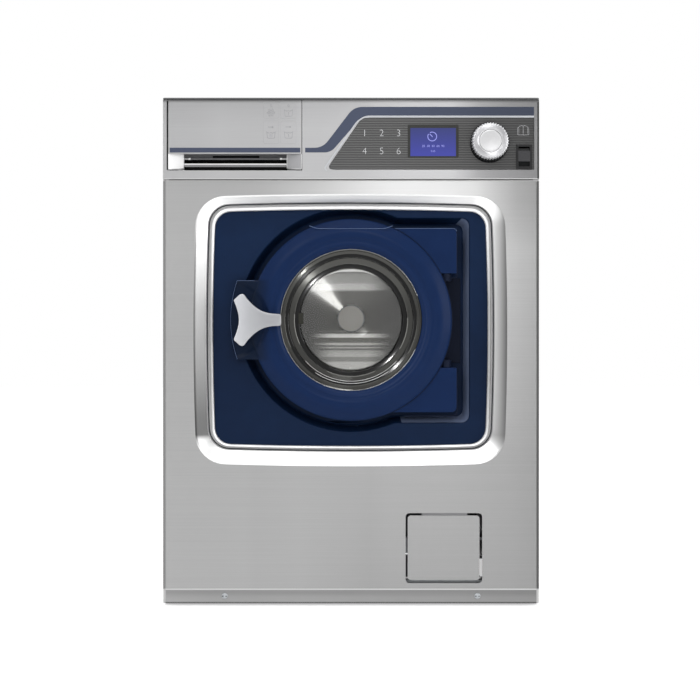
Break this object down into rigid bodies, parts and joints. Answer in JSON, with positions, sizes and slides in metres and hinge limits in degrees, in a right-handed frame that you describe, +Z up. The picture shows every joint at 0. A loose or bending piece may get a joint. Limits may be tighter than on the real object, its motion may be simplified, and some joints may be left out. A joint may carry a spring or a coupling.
{
  "type": "washing machine",
  "caption": "Front-loading washing machine with a round glazed door in a square recess, detergent drawer, keypad, display and knob.",
  "frame": {"origin": "on the floor, under the middle of the machine's bounding box", "axes": "+Z up, -Y out of the front (door and controls), +X to the right when facing the front"},
  "size_m": [0.595, 0.66, 0.804],
  "materials": {
    "stainless": "fine vertical brushing, satin",
    "polished": "polished bright steel",
    "zinc": "zinc-plated sheet, dull",
    "dark_lid": "dark grey satin paint",
    "silver": "silver-grey satin lacquer",
    "silver_plastic": "silver-grey satin plastic",
    "charcoal": "charcoal grey, finely ribbed on the controls",
    "black": "black, satin",
    "screen": "blue-violet backlit liquid-crystal display on a green circuit board",
    "navy": "dark navy blue enamel, satin",
    "handle_grey": "lavender-grey lacquer",
    "pearl": "silver-white satin plastic",
    "white_plastic": "off-white, plain",
    "rubber": "dark grey moulded rubber",
    "glass": "clear",
    "iron": "black painted casting",
    "alloy": "as-cast aluminium",
    "motor_grey": "grey machine enamel"
  },
  "bodies": {
    "cabinet": {"base_frame": "zinc", "left_side_panel": "stainless", "right_side_panel": "stainless", "rear_panel": "zinc", "top_panel": "dark_lid", "front_panel": "stainless", "plinth_strip": "stainless", "plinth_screw_left": "polished", "plinth_screw_right": "polished", "door_surround": "polished", "recess_panel": "navy", "hinge_bracket": "navy", "door_lock": "black", "fascia": "silver_plastic", "fascia_inlay": "charcoal", "display_module": "screen", "rocker_housing": "black", "dispenser_housing": "charcoal", "dispenser_hose": "rubber", "inlet_valve": "white_plastic", "mains_gland": "black", "drain_pump": "white_plastic", "foot_front_left": "black", "foot_front_right": "black", "foot_rear_left": "black", "foot_rear_right": "black", "door_gasket": "rubber", "spring_left": "zinc", "spring_right": "zinc", "damper_left": "black", "damper_right": "black"},
    "door": {"door_ring": "navy", "door_frame": "navy", "window_trim": "polished", "door_glass": "glass"},
    "handle": {"door_handle": "handle_grey"},
    "hook": {"latch_hook": "zinc"},
    "drawer": {"drawer_front": "silver_plastic", "drawer_tray": "white_plastic"},
    "knob": {"selector_knob": "pearl"},
    "start": {"start_button": "pearl"},
    "rocker": {"power_rocker": "black"},
    "hatch": {"service_hatch": "stainless"},
    "filter": {"filter_cap": "white_plastic"},
    "tub": {"outer_tub": "stainless", "tub_front_cover": "stainless", "counterweight": "iron", "drum_bearing": "polished", "motor": "motor_grey", "drive_belt": "rubber"},
    "drum": {"drum_shell": "stainless", "drum_spider": "alloy", "drum_pulley": "alloy"},
    "rotor": {"motor_rotor": "zinc"},
    "number_key_1": {"key_1": "charcoal"},
    "number_key_2": {"key_2": "charcoal"},
    "number_key_3": {"key_3": "charcoal"},
    "number_key_4": {"key_4": "charcoal"},
    "number_key_5": {"key_5": "charcoal"},
    "number_key_6": {"key_6": "charcoal"}
  },
  "joints": [
    {"name": "door_hinge", "type": "hinge", "parent": "cabinet", "child": "door", "pos_m": [0.152, -0.281, 0.4526], "axis": [0, 0, 1], "range_deg": [0, 140]},
    {"name": "door_handle_pivot", "type": "hinge", "parent": "door", "child": "handle", "pos_m": [-0.122, -0.297, 0.4526], "axis": [0, 0, 1], "range_deg": [0, 20], "stiffness_Nm_per_rad": 1, "springref_deg": -8.59},
    {"name": "latch_hook_pivot", "type": "hinge", "parent": "door", "child": "hook", "pos_m": [-0.157, -0.276, 0.4526], "axis": [0, 0, 1], "range_deg": [-15, 0]},
    {"name": "drawer_slide", "type": "slide", "parent": "cabinet", "child": "drawer", "axis": [0, -1, 0], "range_m": [0, 0.2]},
    {"name": "selector_knob_turn", "type": "hinge", "parent": "cabinet", "child": "knob", "pos_m": [0.2193, -0.315, 0.7343], "axis": [0, 1, 0], "continuous": true},
    {"name": "start_button_press", "type": "slide", "parent": "knob", "child": "start", "axis": [0, 1, 0], "range_m": [0, 0.002], "stiffness_N_per_m": 300, "springref_m": -0.001},
    {"name": "power_rocker_tilt", "type": "hinge", "parent": "cabinet", "child": "rocker", "pos_m": [0.2735, -0.3, 0.71075], "axis": [-1, 0, 0], "range_deg": [0, 20]},
    {"name": "service_hatch_hinge", "type": "hinge", "parent": "cabinet", "child": "hatch", "pos_m": [0.1465, -0.299, 0.044], "axis": [1, 0, 0], "range_deg": [0, 90]},
    {"name": "filter_cap_turn", "type": "hinge", "parent": "cabinet", "child": "filter", "pos_m": [0.146, -0.29, 0.092], "axis": [0, 1, 0], "range_deg": [0, 90]},
    {"name": "tub_suspension", "type": "slide", "parent": "cabinet", "child": "tub", "axis": [0, 0, 1], "range_m": [-0.01, 0.01], "stiffness_N_per_m": 24000, "springref_m": 0.02499, "deforming": ["spring_left", "spring_right", "damper_left", "damper_right", "dispenser_hose", "door_gasket"]},
    {"name": "drum_spin", "type": "hinge", "parent": "tub", "child": "drum", "pos_m": [0, -0.005, 0.4526], "axis": [0, 1, 0], "continuous": true},
    {"name": "motor_spin", "type": "hinge", "parent": "tub", "child": "rotor", "pos_m": [0.11, 0.175, 0.13], "axis": [0, 1, 0], "continuous": true},
    {"name": "key_1_press", "type": "slide", "parent": "cabinet", "child": "number_key_1", "axis": [0, 1, 0], "range_m": [0, 0.0008], "stiffness_N_per_m": 400, "springref_m": -0.0005},
    {"name": "key_2_press", "type": "slide", "parent": "cabinet", "child": "number_key_2", "axis": [0, 1, 0], "range_m": [0, 0.0008], "stiffness_N_per_m": 400, "springref_m": -0.0005},
    {"name": "key_3_press", "type": "slide", "parent": "cabinet", "child": "number_key_3", "axis": [0, 1, 0], "range_m": [0, 0.0008], "stiffness_N_per_m": 400, "springref_m": -0.0005},
    {"name": "key_4_press", "type": "slide", "parent": "cabinet", "child": "number_key_4", "axis": [0, 1, 0], "range_m": [0, 0.0008], "stiffness_N_per_m": 400, "springref_m": -0.0005},
    {"name": "key_5_press", "type": "slide", "parent": "cabinet", "child": "number_key_5", "axis": [0, 1, 0], "range_m": [0, 0.0008], "stiffness_N_per_m": 400, "springref_m": -0.0005},
    {"name": "key_6_press", "type": "slide", "parent": "cabinet", "child": "number_key_6", "axis": [0, 1, 0], "range_m": [0, 0.0008], "stiffness_N_per_m": 400, "springref_m": -0.0005}
  ],
  "couplings": [
    {"joint": "latch_hook_pivot", "follows": "door_handle_pivot", "ratio": -0.75},
    {"joint": "motor_spin", "follows": "drum_spin", "ratio": 10}
  ]
}
